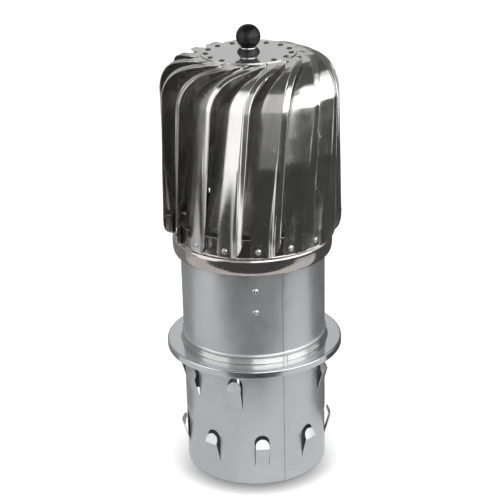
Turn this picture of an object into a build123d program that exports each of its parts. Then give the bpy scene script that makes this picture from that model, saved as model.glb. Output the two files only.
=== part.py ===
"""Rotating chimney cowl: a flue tube with clamp tabs under a fifteen-vane wind-driven head.

Millimetres, +Z up. The origin is the centre of the spigot's bottom edge.
"""
import os
from math import asin, cos, degrees, radians, sin, sqrt

from build123d import *

# Flue tube, rolled from one sheet
tube_radius = 75.0
tube_sheet = 0.8
tube_height = 256.0
bead_z = 149.5
bead_height = 5.0
bead_proud = 1.4
seam_azimuth = -65.3
seam_width = 4.2
seam_proud = 0.3
wall_start = 100.0

# Clamp tabs, punched in two rows round the spigot
tab_count = 9
tab_pitch = 41.0
tab_azimuth = -85.4
lower_tab_z = 22.9
upper_tab_z = 89.0
window_width = 15.4
window_height = 35.2
tab_clearance = 0.5
tab_root_inset = 0.1
elbow_rise = 22.0
elbow_proud = 6.2
tip_rise = 9.6
tip_proud = 2.2

# Flange ring that seals on the chimney pot
flange_radius = 92.5
flange_top = 141.0
flange_sheet = 0.9
rim_drop = 6.5
rim_roll = 1.6
neck_sheet = 0.6
seam_slot_clearance = 0.5

# Bearing bracket, a strap riveted across the inside of the tube
bracket_azimuth = -88.3
bracket_width = 50.0
bracket_sheet = 2.0
bracket_top = 231.0
bracket_leg = 43.0
bracket_bend = 2.5
bracket_rivet_heights = (198.2, 221.3)
bracket_rivet_head = 6.5

# Rivets
rivet_shank = 3.2
rivet_head = 6.0
rivet_head_height = 1.5
rivet_tail = 4.6
rivet_tail_height = 2.4
rivet_tail_clearance = 0.1
rivet_eye = 1.9
rivet_eye_depth = 1.2

# Ball bearings, one at each end of the housing
bearing_bore = 10.0
bearing_outer = 26.0
bearing_width = 8.0
ball_diameter = 4.76
ball_count = 7
race_clearance = 0.06
inner_land = 14.4
outer_land = 21.6
cage_sheet = 0.6
lower_bearing_z = 196.0
upper_bearing_z = 250.0

# Bearing housing and its ring nut
housing_radius = 17.0
housing_bore = 20.0
housing_flange_radius = 22.0
housing_flange_height = 4.0
housing_lip = 4.0
housing_nut_radius = 23.0
housing_nut_height = 6.0
housing_nut_slots = 4
housing_nut_slot_width = 5.0
housing_nut_slot_depth = 2.5

# Circlips
circlip_sheet = 1.2
circlip_depth = 1.0
circlip_stand = 1.6
circlip_gap = 24.0

# Spindle
spindle_stem = 12.0
spindle_collar = 14.0
spindle_collar_height = 4.0
spindle_end = 5.0
spindle_thread = 8.0
spindle_chamfer = 0.8

# Hub: top disc, washers, nut and ball knob
disc_radius = 47.6
disc_sheet = 1.0
disc_top = 445.6
support_washer_radius = 16.0
support_washer_sheet = 2.0
clamp_nut_across = 13.0
clamp_nut_height = 4.2
knob_washer_radius = 8.5
knob_washer_sheet = 1.2
knob_radius = 12.1
knob_base_radius = 6.6
knob_thread_depth = 12.0

# Rotor ring under the vanes
ring_radius = 80.0
ring_sheet = 0.8
ring_top = 278.0
ring_bottom = 240.3
skirt_radius = 82.8
skirt_edge_radius = 80.2
skirt_z = 250.0
ring_shoulder = 257.2
ring_step = 1.0

# Vanes, each in a frame with +X through its foot rivet and +Z up
vane_count = 15
first_vane_azimuth = -85.8
vane_sheet = 0.6
vane_bottom = 259.0
foot_rivet_z = 265.5
foot_pad_half = 8.8
foot_pad_round = 3.5
foot_outer_round = 8.0
pad_top = 274.0
flange_bottom = 283.0
crease_top = 350.0
crease_offset = 17.0
fold_fade = 0.1
flange_length = 15.0
flange_end = 5.0
flange_turn = 22.0
flange_round = 4.0
lip_width = 5.5
lip_turn = 16.0

# Inner crease of a vane, between its flange and its face
crease_x = 80.6
crease_y_bottom = -8.8
crease_y_mid = -2.1
crease_y_top = 6.0
crease_bend_radius = 36.0
crease_bend_azimuth = -23.5
crease_bend = 65.0

# Outer edge of a vane, the free side of its lip
edge_x_bottom = 90.6
edge_y_bottom = 19.8
edge_x_top = 85.3
edge_y_top = 30.9
edge_bend_radius = 37.4
edge_bend_azimuth = -20.8
edge_bend = 72.0
shoulder_z = 405.5
corner_run = 8.0
bend_steps = 4

# Tongue at the vane's top end, riveted under the disc
top_rivet_radius = 42.4
top_rivet_azimuth = 54.8
tongue_reach = 5.6
tongue_left = 11.5
tongue_right = 6.0
tongue_depth = 11.6
tongue_end_left = 6.0
tongue_end_right = 5.0
tongue_round = 4.0

# How far a cut runs past the faces it removes
cut_margin = 1.0

# Sizes that follow from the ones above
tube_inner = tube_radius - tube_sheet
bead_low = bead_z - bead_height / 2
bead_high = bead_z + bead_height / 2
disc_bottom = disc_top - disc_sheet
housing_bottom = lower_bearing_z - housing_lip
housing_top = upper_bearing_z + bearing_width + housing_lip
pitch_radius = (inner_land + outer_land) / 4
race_radius = ball_diameter / 2 + race_clearance
bracket_bottom = bracket_top - bracket_leg
bar_bottom = bracket_top - bracket_sheet
vane_pitch = 360 / vane_count
collar_z = upper_bearing_z + bearing_width
shoulder_seat = disc_bottom - support_washer_sheet
nut_top = disc_top + clamp_nut_height
knob_seat = nut_top + knob_washer_sheet
knob_z = knob_seat + sqrt(knob_radius**2 - knob_base_radius**2)


def radial_plane(azimuth):
    """Vertical plane through the axis: local x runs outward, local y runs up."""
    out = Vector(cos(radians(azimuth)), sin(radians(azimuth)), 0)
    return Plane(origin=(0, 0, 0), x_dir=out, z_dir=out.cross(Vector(0, 0, 1)))


def facing_plane(azimuth, radius, z):
    """Vertical plane that faces outward at one azimuth: local y runs up."""
    out = Vector(cos(radians(azimuth)), sin(radians(azimuth)), 0)
    side = Vector(0, 0, 1).cross(out)
    return Plane(origin=out * radius + Vector(0, 0, z), x_dir=side, z_dir=out)


def save(part, name):
    """Label one finished piece and write it."""
    part.label = name
    export_step(part, f"parts/{name}.step")


def u_shape(plane, width, height):
    """Sketch of a strip with a round top, standing on the plane's origin."""
    straight = height - width / 2
    with BuildSketch(plane) as outline:
        with Locations((0, straight / 2)):
            Rectangle(width, straight)
        with Locations((0, straight)):
            Circle(width / 2)
    return outline.sketch


def ring_section(plane, inner, outer, low, high):
    """Rectangle in a radial plane, for a plain turned ring."""
    with BuildSketch(plane) as section:
        with Locations(((inner + outer) / 2, (low + high) / 2)):
            Rectangle(outer - inner, high - low)
    return section.sketch


def turned(inner, outer, low, high):
    """Plain ring about the cowl's axis."""
    with BuildPart() as ring:
        revolve(ring_section(Plane.XZ, inner, outer, low, high), axis=Axis.Z)
    return ring.part


def blind_rivet(head, head_height, stack):
    """Rivet along Z: its head sits on z = 0 and its shank passes through the stack."""
    seat = -stack - rivet_tail_clearance
    foot = seat - rivet_tail_height
    shank = rivet_shank / 2
    dome = (head**2 / 4 + head_height**2) / (2 * head_height)
    half_turn = asin(head / 2 / dome) / 2
    crown = (dome * sin(half_turn), head_height - dome * (1 - cos(half_turn)))
    with BuildPart() as rivet:
        with BuildSketch(Plane.XZ):
            with BuildLine():
                Polyline((0, head_height), (0, foot), (shank, foot))
                ThreePointArc((shank, foot), (rivet_tail / 2, (foot + seat) / 2), (shank, seat))
                Polyline((shank, seat), (shank, 0), (head / 2, 0))
                ThreePointArc((head / 2, 0), crown, (0, head_height))
            make_face()
        revolve(axis=Axis.Z)
        with BuildSketch(Plane.XY.offset(head_height)):
            Circle(rivet_eye / 2)
        extrude(amount=-rivet_eye_depth, mode=Mode.SUBTRACT)
    return rivet.part


# Flue tube
def wall_section(plane, outer, inner):
    """Section of the rolled wall between two radii, with its bead."""
    with BuildSketch(plane) as section:
        with BuildLine():
            Polyline((inner, bead_low), (inner, 0), (outer, 0), (outer, bead_low))
            ThreePointArc((outer, bead_low), (outer + bead_proud, bead_z), (outer, bead_high))
            Polyline(
                (outer, bead_high), (outer, tube_height), (inner, tube_height), (inner, bead_high)
            )
            ThreePointArc((inner, bead_high), (inner + bead_proud, bead_z), (inner, bead_low))
        make_face()
    return section.sketch


def tab_places():
    """Azimuth and foot height of every clamp tab; none stands on the seam."""
    first = tab_azimuth - tab_pitch * (tab_count // 2)
    lower = [(first + tab_pitch * i, lower_tab_z) for i in range(tab_count)]
    upper = [(first + tab_pitch * (i - 0.5), upper_tab_z) for i in range(tab_count)]
    clear = [(a, z) for a, z in upper if abs(a - seam_azimuth) > tab_pitch / 4]
    return lower + clear


def clamp_tab(azimuth, z):
    """Springy tab, hinged at its window's foot, with the tip bent back in."""
    width = window_width - 2 * tab_clearance
    half_angle = degrees(width / 2 / tube_radius)
    root_inner = tube_inner + tab_root_inset
    root_outer = tube_radius - tab_root_inset
    elbow = (tube_radius + elbow_proud, z + elbow_rise)
    tip = (tube_radius + tip_proud, z + elbow_rise + tip_rise)
    with BuildPart() as tab:
        with BuildSketch(radial_plane(azimuth - half_angle)):
            with BuildLine():
                Polyline(
                    (root_inner, z - tube_sheet),
                    (root_outer, z - tube_sheet),
                    (root_outer, z),
                    elbow,
                    tip,
                    (tip[0] - tube_sheet, tip[1]),
                    (elbow[0] - tube_sheet, elbow[1]),
                    (root_inner, z),
                    close=True,
                )
            make_face()
        revolve(axis=Axis.Z, revolution_arc=2 * half_angle)
        foot = facing_plane(azimuth, tube_inner - tube_sheet, z - tube_sheet)
        outline = u_shape(foot, width, elbow_rise + tip_rise + tube_sheet)
        extrude(outline, amount=elbow_proud + 3 * tube_sheet, mode=Mode.INTERSECT)
    return tab.part


def make_flue_tube():
    """Rolled tube with its seam, its bead and two rows of clamp tabs."""
    seam_angle = degrees(seam_width / tube_radius)
    seam_start = radial_plane(seam_azimuth - seam_angle / 2)
    tabs = [clamp_tab(azimuth, z) for azimuth, z in tab_places()]
    with BuildPart() as tube:
        revolve(wall_section(radial_plane(wall_start), tube_radius, tube_inner), axis=Axis.Z)
        for azimuth, z in tab_places():
            foot = facing_plane(azimuth, tube_inner - tube_sheet, z)
            window = u_shape(foot, window_width, window_height)
            extrude(window, amount=3 * tube_sheet, mode=Mode.SUBTRACT)
        for low, high in ((0, bead_low), (bead_high, tube_height)):
            seam = ring_section(
                seam_start, tube_radius - tube_sheet / 2, tube_radius + seam_proud, low, high
            )
            revolve(seam, axis=Axis.Z, revolution_arc=seam_angle)
        for side in (0, 180):
            for z in bracket_rivet_heights:
                with BuildSketch(facing_plane(bracket_azimuth + side, tube_inner - tube_sheet, z)):
                    Circle(rivet_shank / 2)
                extrude(amount=3 * tube_sheet, mode=Mode.SUBTRACT)
        for tab in tabs:
            add(tab)
    return tube.part


# Flange ring
def make_flange_ring():
    """Flat ring with a rolled-down rim and a neck that stops under the tube's bead."""
    under = flange_top - flange_sheet
    rim_end = flange_top - rim_drop
    slot_angle = degrees((seam_width + 2 * seam_slot_clearance) / tube_radius)
    slot_depth = max(neck_sheet, seam_proud) + seam_slot_clearance
    with BuildPart() as ring:
        with BuildSketch(Plane.XZ):
            with BuildLine():
                Polyline(
                    (tube_radius, under),
                    (flange_radius - flange_sheet, under),
                    (flange_radius - flange_sheet, rim_end),
                    (flange_radius, rim_end),
                    (flange_radius, flange_top),
                    (tube_radius + neck_sheet, flange_top),
                    (tube_radius + neck_sheet, bead_low),
                    (tube_radius, bead_low),
                    close=True,
                )
            make_face()
            fillet(vertices().group_by(Axis.X)[-1].sort_by(Axis.Y)[-1], rim_roll)
        revolve(axis=Axis.Z)
        slot_start = radial_plane(seam_azimuth - slot_angle / 2)
        slot = ring_section(
            slot_start,
            tube_radius - cut_margin,
            tube_radius + slot_depth,
            under - cut_margin,
            bead_low + cut_margin,
        )
        revolve(slot, axis=Axis.Z, revolution_arc=slot_angle, mode=Mode.SUBTRACT)
    return ring.part


# Bearing bracket
def make_bracket():
    """Strap bent down at both ends, its legs pressed to the tube's curve."""
    reach = tube_inner - bracket_sheet
    strap = Rectangle(2 * tube_inner, bracket_width, rotation=bracket_azimuth, mode=Mode.PRIVATE)
    with BuildPart() as bracket:
        with BuildSketch(Plane.XY.offset(bracket_bottom)):
            Circle(tube_inner)
            add(strap, mode=Mode.INTERSECT)
        extrude(amount=bracket_leg)
        top_bends = bracket.edges().filter_by(GeomType.CIRCLE).group_by(Axis.Z)[-1]
        fillet(top_bends, bracket_bend + bracket_sheet)
        with BuildSketch(Plane.XY.offset(bracket_bottom)):
            Circle(reach)
        extrude(amount=bracket_leg - bracket_sheet, mode=Mode.SUBTRACT)
        with BuildSketch(Plane.XY.offset(bar_bottom)):
            Circle(housing_radius)
        extrude(amount=bracket_sheet, mode=Mode.SUBTRACT)
        for side in (0, 180):
            for z in bracket_rivet_heights:
                with BuildSketch(facing_plane(bracket_azimuth + side, reach - bracket_sheet, z)):
                    Circle(rivet_shank / 2)
                extrude(amount=3 * bracket_sheet, mode=Mode.SUBTRACT)
    return bracket.part


def make_bracket_rivets():
    """Four blind rivets through the tube into the bracket's legs."""
    rivet = blind_rivet(bracket_rivet_head, rivet_head_height, tube_sheet + bracket_sheet)
    lying = rivet.rotate(Axis.Y, 90)
    with BuildPart() as rivets:
        with Locations(*[(0, 0, z) for z in bracket_rivet_heights]):
            with PolarLocations(tube_radius, 2, bracket_azimuth):
                add(lying)
    return rivets.part


# Bearing housing
def make_housing():
    """Turned housing that stands in the bracket, with a seat for a bearing at each end."""
    seat = bearing_outer / 2
    lower_top = lower_bearing_z + bearing_width
    groove = seat + circlip_depth
    with BuildPart() as housing:
        for outer, low, high in (
            (housing_radius, housing_bottom, housing_top),
            (housing_flange_radius, bracket_top, bracket_top + housing_flange_height),
        ):
            revolve(ring_section(Plane.XZ, housing_bore / 2, outer, low, high), axis=Axis.Z)
        for outer, low, high in (
            (seat, housing_bottom, lower_top),
            (seat, upper_bearing_z, housing_top),
            (groove, lower_bearing_z - circlip_sheet, lower_bearing_z),
            (groove, collar_z, collar_z + circlip_sheet),
        ):
            revolve(ring_section(Plane.XZ, 0, outer, low, high), axis=Axis.Z, mode=Mode.SUBTRACT)
    return housing.part


def make_housing_nut():
    """Slotted ring nut that clamps the housing under the bracket."""
    with BuildPart() as nut:
        section = ring_section(
            Plane.XZ, housing_radius, housing_nut_radius, bar_bottom - housing_nut_height, bar_bottom
        )
        revolve(section, axis=Axis.Z)
        with BuildSketch(Plane.XY.offset(bar_bottom - housing_nut_height)):
            with PolarLocations(housing_nut_radius, housing_nut_slots):
                Rectangle(2 * housing_nut_slot_depth, housing_nut_slot_width)
        extrude(amount=housing_nut_height, mode=Mode.SUBTRACT)
    return nut.part


# Bearings
def make_outer_ring(z):
    """Outer ring with its raceway."""
    mid = z + bearing_width / 2
    with BuildPart() as ring:
        section = ring_section(Plane.XZ, outer_land / 2, bearing_outer / 2, z, z + bearing_width)
        revolve(section, axis=Axis.Z)
        with BuildSketch(Plane.XZ):
            with Locations((pitch_radius, mid)):
                Circle(race_radius)
        revolve(axis=Axis.Z, mode=Mode.SUBTRACT)
    return ring.part


def make_inner_ring(z):
    """Inner ring with its raceway."""
    mid = z + bearing_width / 2
    with BuildPart() as ring:
        section = ring_section(Plane.XZ, bearing_bore / 2, inner_land / 2, z, z + bearing_width)
        revolve(section, axis=Axis.Z)
        with BuildSketch(Plane.XZ):
            with Locations((pitch_radius, mid)):
                Circle(race_radius)
        revolve(axis=Axis.Z, mode=Mode.SUBTRACT)
    return ring.part


def make_balls(z):
    """Ring of separate balls."""
    with BuildPart(Plane.XY.offset(z + bearing_width / 2)) as balls:
        with PolarLocations(pitch_radius, ball_count):
            Sphere(ball_diameter / 2)
    return balls.part


def make_cage(z):
    """Cage with a round pocket for each ball."""
    mid = z + bearing_width / 2
    half = ball_diameter / 2 + cage_sheet
    inner = pitch_radius - cage_sheet
    outer = pitch_radius + cage_sheet
    with BuildPart() as cage:
        revolve(ring_section(Plane.XZ, inner, outer, mid - half, mid + half), axis=Axis.Z)
        for i in range(ball_count):
            with BuildSketch(facing_plane(i * 360 / ball_count, inner - cage_sheet, mid)):
                Circle(race_radius)
            extrude(amount=4 * cage_sheet, mode=Mode.SUBTRACT)
    return cage.part


# Circlips
def make_circlip(inner, outer, z):
    """Flat spring ring with a gap."""
    with BuildPart() as clip:
        section = ring_section(radial_plane(0), inner, outer, z, z + circlip_sheet)
        revolve(section, axis=Axis.Z, revolution_arc=360 - circlip_gap)
    return clip.part


# Spindle
def make_spindle():
    """Turned spindle: bearing seats, a collar, the long stem and the thread for the knob."""
    bottom = lower_bearing_z - spindle_end
    seat = bearing_bore / 2
    stem = spindle_stem / 2
    collar = spindle_collar / 2
    thread = spindle_thread / 2
    collar_top = collar_z + spindle_collar_height
    end = knob_seat + knob_thread_depth
    groove = seat - circlip_depth / 2
    with BuildPart() as spindle:
        with BuildSketch(Plane.XZ):
            with BuildLine():
                Polyline(
                    (0, bottom),
                    (seat - spindle_chamfer, bottom),
                    (seat, bottom + spindle_chamfer),
                    (seat, lower_bearing_z - circlip_sheet),
                    (groove, lower_bearing_z - circlip_sheet),
                    (groove, lower_bearing_z),
                    (seat, lower_bearing_z),
                    (seat, collar_z),
                    (collar, collar_z),
                    (collar, collar_top),
                    (stem, collar_top),
                    (stem, shoulder_seat),
                    (thread, shoulder_seat),
                    (thread, end - spindle_chamfer),
                    (thread - spindle_chamfer, end),
                    (0, end),
                    close=True,
                )
            make_face()
        revolve(axis=Axis.Z)
    return spindle.part


# Hub
def make_top_disc():
    """Flat disc over the vanes' tongues, with a hole for each rivet."""
    with BuildPart() as disc:
        with BuildSketch(Plane.XY.offset(disc_bottom)):
            Circle(disc_radius)
            Circle(spindle_thread / 2, mode=Mode.SUBTRACT)
            with PolarLocations(top_rivet_radius, vane_count, first_vane_azimuth + top_rivet_azimuth):
                Circle(rivet_shank / 2, mode=Mode.SUBTRACT)
        extrude(amount=disc_sheet)
    return disc.part


def make_clamp_nut():
    """Hexagon nut on the disc."""
    with BuildPart() as nut:
        with BuildSketch(Plane.XY.offset(disc_top)):
            RegularPolygon(clamp_nut_across / 2, 6, major_radius=False)
            Circle(spindle_thread / 2, mode=Mode.SUBTRACT)
        extrude(amount=clamp_nut_height)
    return nut.part


def make_knob():
    """Ball knob with a flat foot and a blind threaded hole."""
    with BuildPart(Plane.XY.offset(knob_z)) as knob:
        Sphere(knob_radius)
        split(bisect_by=Plane.XY.offset(knob_seat), keep=Keep.TOP)
        with BuildSketch(Plane.XY.offset(knob_seat)):
            Circle(spindle_thread / 2)
        extrude(amount=knob_thread_depth, mode=Mode.SUBTRACT)
    return knob.part


# Rotor ring
def make_rotor_ring():
    """Rolled ring: a rounded skirt over the tube, a bead line and the wall for the vanes."""
    step_z = ring_shoulder + ring_step
    outer_edge, outer_belly = (skirt_edge_radius, ring_bottom), (skirt_radius, skirt_z)
    inner_edge = (skirt_edge_radius - ring_sheet, ring_bottom)
    inner_belly = (skirt_radius - ring_sheet, skirt_z)
    with BuildPart() as ring:
        with BuildSketch(Plane.XZ):
            with BuildLine():
                Line(inner_edge, outer_edge)
                TangentArc(outer_belly, outer_edge, tangent=(0, -1))
                Polyline(
                    outer_belly,
                    (skirt_radius, ring_shoulder),
                    (ring_radius, step_z),
                    (ring_radius, ring_top),
                    (ring_radius - ring_sheet, ring_top),
                    (ring_radius - ring_sheet, step_z),
                    (skirt_radius - ring_sheet, ring_shoulder),
                    inner_belly,
                )
                TangentArc(inner_belly, inner_edge, tangent=(0, -1))
            make_face()
        revolve(axis=Axis.Z)
        for i in range(vane_count):
            azimuth = first_vane_azimuth + i * vane_pitch
            with BuildSketch(facing_plane(azimuth, ring_radius - 2 * ring_sheet, foot_rivet_z)):
                Circle(rivet_shank / 2)
            extrude(amount=4 * ring_sheet, mode=Mode.SUBTRACT)
    return ring.part


# Vanes
def flat(point):
    """Local plane coordinates of a vector."""
    return (point.X, point.Y)


def flat_vector(point):
    """The vector without its height."""
    return Vector(point.X, point.Y)


def along(start, end, share):
    """Point at a share of the way between two points."""
    return start + (end - start) * share


def left_of(direction):
    """Unit vector to the left of a direction in the plane."""
    return Vector(-direction.Y, direction.X).normalized()


def sheet_outline(points):
    """Closed outline of a bent sheet whose outer face runs through the points."""
    inner = []
    for i, here in enumerate(points):
        before = here - points[i - 1] if i > 0 else points[1] - here
        after = points[i + 1] - here if i + 1 < len(points) else before
        first, second = left_of(before), left_of(after)
        mitre = (first + second) / (1 + first.dot(second))
        inner.append(here + mitre * vane_sheet)
    return [flat(point) for point in points + inner[::-1]]


def lip_root(start, edge):
    """Bend line of the lip, given the face's start and the free edge."""
    across = (edge - start).normalized()
    out = left_of(across) * -1
    lean = radians(lip_turn)
    return edge - across * (lip_width * cos(lean)) + out * (lip_width * sin(lean))


def flange_tip(crease, toward, length):
    """Free edge of the inner flange, turned inward from the face's line."""
    across = (toward - crease).normalized()
    turn = radians(flange_turn)
    return crease - across * (length * cos(turn)) + left_of(across) * (length * sin(turn))


def crease_at(z):
    """Inner crease below the shoulder."""
    if z <= crease_top:
        share = (z - vane_bottom) / (crease_top - vane_bottom)
        y = crease_y_bottom + (crease_y_mid - crease_y_bottom) * share
    else:
        share = (z - crease_top) / (shoulder_z - crease_top)
        y = crease_y_mid + (crease_y_top - crease_y_mid) * share
    return Vector(crease_x, y, z)


def edge_at(z):
    """Outer edge below the shoulder."""
    low = Vector(edge_x_bottom, edge_y_bottom, vane_bottom)
    high = Vector(edge_x_top, edge_y_top, shoulder_z)
    return along(low, high, (z - vane_bottom) / (shoulder_z - vane_bottom))


def bent(foot, top, radius, azimuth, angle, run):
    """Point and direction on a line bent inward over the shoulder, then run on straight."""
    rise = (top - foot).normalized()
    inward = Vector(-cos(radians(azimuth)), -sin(radians(azimuth)), 0)
    inward = (inward - rise * inward.dot(rise)).normalized()
    turn = radians(angle)
    point = top + inward * (radius * (1 - cos(turn))) + rise * (radius * sin(turn))
    direction = rise * cos(turn) + inward * sin(turn)
    return point + direction * run, direction


def shoulder_at(share, run=0.0):
    """Crease point, edge point and direction at a share of the shoulder's bend."""
    crease, crease_run = bent(
        crease_at(crease_top), crease_at(shoulder_z), crease_bend_radius,
        crease_bend_azimuth, crease_bend * share, run,
    )
    edge, edge_run = bent(
        edge_at(vane_bottom), edge_at(shoulder_z), edge_bend_radius,
        edge_bend_azimuth, edge_bend * share, run,
    )
    return crease, edge, crease_run + edge_run


def across_plane(crease, edge, run):
    """Section plane: local x outward, local y from crease to edge."""
    across = (edge - crease).normalized()
    forward = (run - across * run.dot(across)).normalized()
    return Plane(origin=crease, x_dir=across.cross(forward), z_dir=forward)


def foot_points(z):
    """Crease, fold, lip root and edge in a level section of the foot or the face above it."""
    share = max(0, (z - pad_top) / (crease_top - pad_top))
    crease_high = flat_vector(crease_at(crease_top))
    edge_high = flat_vector(edge_at(crease_top))
    root_high = lip_root(crease_high, edge_high)
    face = (root_high - crease_high).normalized()
    fold_high = crease_high + face * crease_offset + left_of(face) * fold_fade
    fold_low = Vector(crease_x, foot_pad_half)
    root_low = lip_root(fold_low, flat_vector(edge_at(min(z, pad_top))))
    fold = along(fold_low, fold_high, share)
    root = along(root_low, root_high, share)
    return [flat_vector(crease_at(z)), fold, root, flat_vector(edge_at(z))]


def flanged(points, length):
    """Section points with the inner flange put before them."""
    return [flange_tip(points[0], points[1], length)] + points


def blade_points(width, length):
    """Flange, crease, lip root and edge in a section plane."""
    crease = Vector(0, 0)
    edge = Vector(0, width)
    return flanged([crease, lip_root(crease, edge), edge], length)


def blade_stations():
    """Crease, edge, direction and flange length of each section above the fold."""
    stations = [(crease_at(crease_top), edge_at(crease_top), Vector(0, 0, 1), flange_length)]
    for i in range(bend_steps + 1):
        share = i / bend_steps
        length = flange_length + (flange_end - flange_length) * share
        stations.append((*shoulder_at(share), length))
    stations.append((*shoulder_at(1, corner_run), flange_end))
    return stations


def blade_section(crease, edge, run, length):
    """Sheet section across the blade at one station."""
    with BuildSketch(across_plane(crease, edge, run)) as section:
        with BuildLine():
            Polyline(*sheet_outline(blade_points((edge - crease).length, length)), close=True)
        make_face()
    return section.sketch


def tongue_plane():
    """Level plane of the tongue: local x outward through the rivet, local y to its right."""
    out = Vector(cos(radians(top_rivet_azimuth)), sin(radians(top_rivet_azimuth)), 0)
    return Plane(origin=(0, 0, disc_bottom - vane_sheet), x_dir=out, z_dir=(0, 0, 1))


def rounding(corner, inward, radius):
    """Sketch outside a rounded lower corner of an upright sheet."""
    with BuildSketch(Plane(origin=corner, x_dir=inward, z_dir=inward.cross(Vector(0, 0, 1)))) as outside:
        with Locations((-cut_margin, -cut_margin)):
            Rectangle(radius + cut_margin, radius + cut_margin, align=(Align.MIN, Align.MIN))
        with Locations((radius, radius)):
            Circle(radius, mode=Mode.SUBTRACT)
    return outside.sketch


def make_vane():
    """One vane: a riveted foot, a face with a lip and a flange, and a tongue under the disc."""
    bend_line = top_rivet_radius + tongue_reach
    tongue = tongue_plane()
    tongue_left_end = tongue.from_local_coords(Vector(bend_line, -tongue_left, vane_sheet))
    tongue_right_end = tongue.from_local_coords(Vector(bend_line, tongue_right, vane_sheet))
    tongue_width = tongue_left + tongue_right
    foot = foot_points(vane_bottom)
    flange_foot = flanged(foot_points(flange_bottom), flange_length)
    sections = [blade_section(*station) for station in blade_stations()]
    with BuildPart() as vane:
        for z in (vane_bottom, pad_top, flange_bottom):
            with BuildSketch(Plane.XY.offset(z)):
                with BuildLine():
                    Polyline(*sheet_outline(foot_points(z)), close=True)
                make_face()
        loft(ruled=True)
        for z in (flange_bottom, crease_top):
            with BuildSketch(Plane.XY.offset(z)):
                with BuildLine():
                    Polyline(*sheet_outline(flanged(foot_points(z), flange_length)), close=True)
                make_face()
        loft(ruled=True)
        loft(sections[:2], ruled=True)
        loft(sections[1:])
        crease, edge, run = shoulder_at(1, corner_run)
        with BuildSketch(across_plane(crease, edge, run)):
            with BuildLine():
                Polyline(*sheet_outline(blade_points((edge - crease).length, flange_end)[1:]), close=True)
            make_face()
        with BuildSketch(across_plane(tongue_left_end, tongue_right_end, tongue.x_dir * -1)):
            lip_start = Vector(fold_fade, tongue_width * (1 - lip_width / (edge - crease).length))
            with BuildLine():
                Polyline(
                    *sheet_outline([Vector(0, 0), lip_start, Vector(0, tongue_width)]), close=True
                )
            make_face()
        loft(ruled=True)
        with BuildSketch(tongue):
            with BuildLine():
                Polyline(
                    (bend_line, -tongue_left),
                    (bend_line, tongue_right),
                    (bend_line - tongue_depth, tongue_end_right),
                    (bend_line - tongue_depth, -tongue_end_left),
                    close=True,
                )
            make_face()
            fillet(vertices().group_by(Axis.X)[0], tongue_round)
        extrude(amount=vane_sheet)
        with BuildSketch(tongue):
            with Locations((top_rivet_radius, 0)):
                Circle(rivet_shank / 2)
        extrude(amount=vane_sheet, mode=Mode.SUBTRACT)
        with BuildSketch(facing_plane(0, crease_x - 2 * vane_sheet, foot_rivet_z)):
            Circle(rivet_shank / 2)
        extrude(amount=3 * vane_sheet, mode=Mode.SUBTRACT)
        for corner, inward, z, radius in (
            (foot[0], foot[1] - foot[0], vane_bottom, foot_pad_round),
            (foot[3], foot[2] - foot[3], vane_bottom, foot_outer_round),
            (flange_foot[0], flange_foot[1] - flange_foot[0], flange_bottom, flange_round),
        ):
            outside = rounding(corner + Vector(0, 0, z), inward.normalized(), radius)
            extrude(outside, amount=3 * vane_sheet, both=True, mode=Mode.SUBTRACT)
    return vane.part


def make_foot_rivets():
    """One blind rivet through each vane's foot and the ring."""
    rivet = blind_rivet(rivet_head, rivet_head_height, vane_sheet + ring_sheet)
    lying = rivet.rotate(Axis.Y, 90)
    with BuildPart(Plane.XY.offset(foot_rivet_z)) as rivets:
        with PolarLocations(crease_x, vane_count, first_vane_azimuth):
            add(lying)
    return rivets.part


def make_top_rivets():
    """One blind rivet through the disc into each vane's tongue."""
    rivet = blind_rivet(rivet_head, rivet_head_height, disc_sheet + vane_sheet)
    with BuildPart(Plane.XY.offset(disc_top)) as rivets:
        with PolarLocations(top_rivet_radius, vane_count, first_vane_azimuth + top_rivet_azimuth):
            add(rivet)
    return rivets.part


# Finished pieces
os.makedirs("parts", exist_ok=True)
save(make_flue_tube(), "flue_tube")
save(make_flange_ring(), "flange_ring")
save(make_bracket(), "bearing_bracket")
save(make_bracket_rivets(), "bracket_rivets")
save(make_housing(), "bearing_housing")
save(make_housing_nut(), "housing_nut")
for place, z in (("lower", lower_bearing_z), ("upper", upper_bearing_z)):
    save(make_outer_ring(z), f"{place}_bearing_outer_ring")
    save(make_inner_ring(z), f"{place}_bearing_inner_ring")
    save(make_balls(z), f"{place}_bearing_balls")
    save(make_cage(z), f"{place}_bearing_cage")
seat = bearing_outer / 2
groove = seat + circlip_depth
save(make_circlip(seat - circlip_stand, groove, lower_bearing_z - circlip_sheet), "lower_bore_circlip")
save(make_circlip(seat - circlip_stand, groove, collar_z), "upper_bore_circlip")
shaft = bearing_bore / 2
save(
    make_circlip(shaft - circlip_depth / 2, shaft + circlip_stand, lower_bearing_z - circlip_sheet),
    "shaft_circlip",
)
save(make_spindle(), "spindle")
save(turned(spindle_thread / 2, support_washer_radius, shoulder_seat, disc_bottom), "support_washer")
save(make_top_disc(), "top_disc")
save(make_clamp_nut(), "clamp_nut")
save(turned(spindle_thread / 2, knob_washer_radius, nut_top, knob_seat), "knob_washer")
save(make_knob(), "ball_knob")
save(make_rotor_ring(), "rotor_ring")
save(make_foot_rivets(), "vane_foot_rivets")
save(make_top_rivets(), "vane_top_rivets")
vane = make_vane()
for i in range(vane_count):
    turned_vane = vane.rotate(Axis.Z, first_vane_azimuth + i * vane_pitch)
    save(turned_vane, f"vane_{i + 1:02d}")
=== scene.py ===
"""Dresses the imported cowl: sheet-metal vanes, turned parts, procedural metals, a studio and the camera."""
from math import cos, pi, radians, sin, sqrt

import bpy
import numpy as np
from mathutils import Matrix


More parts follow.
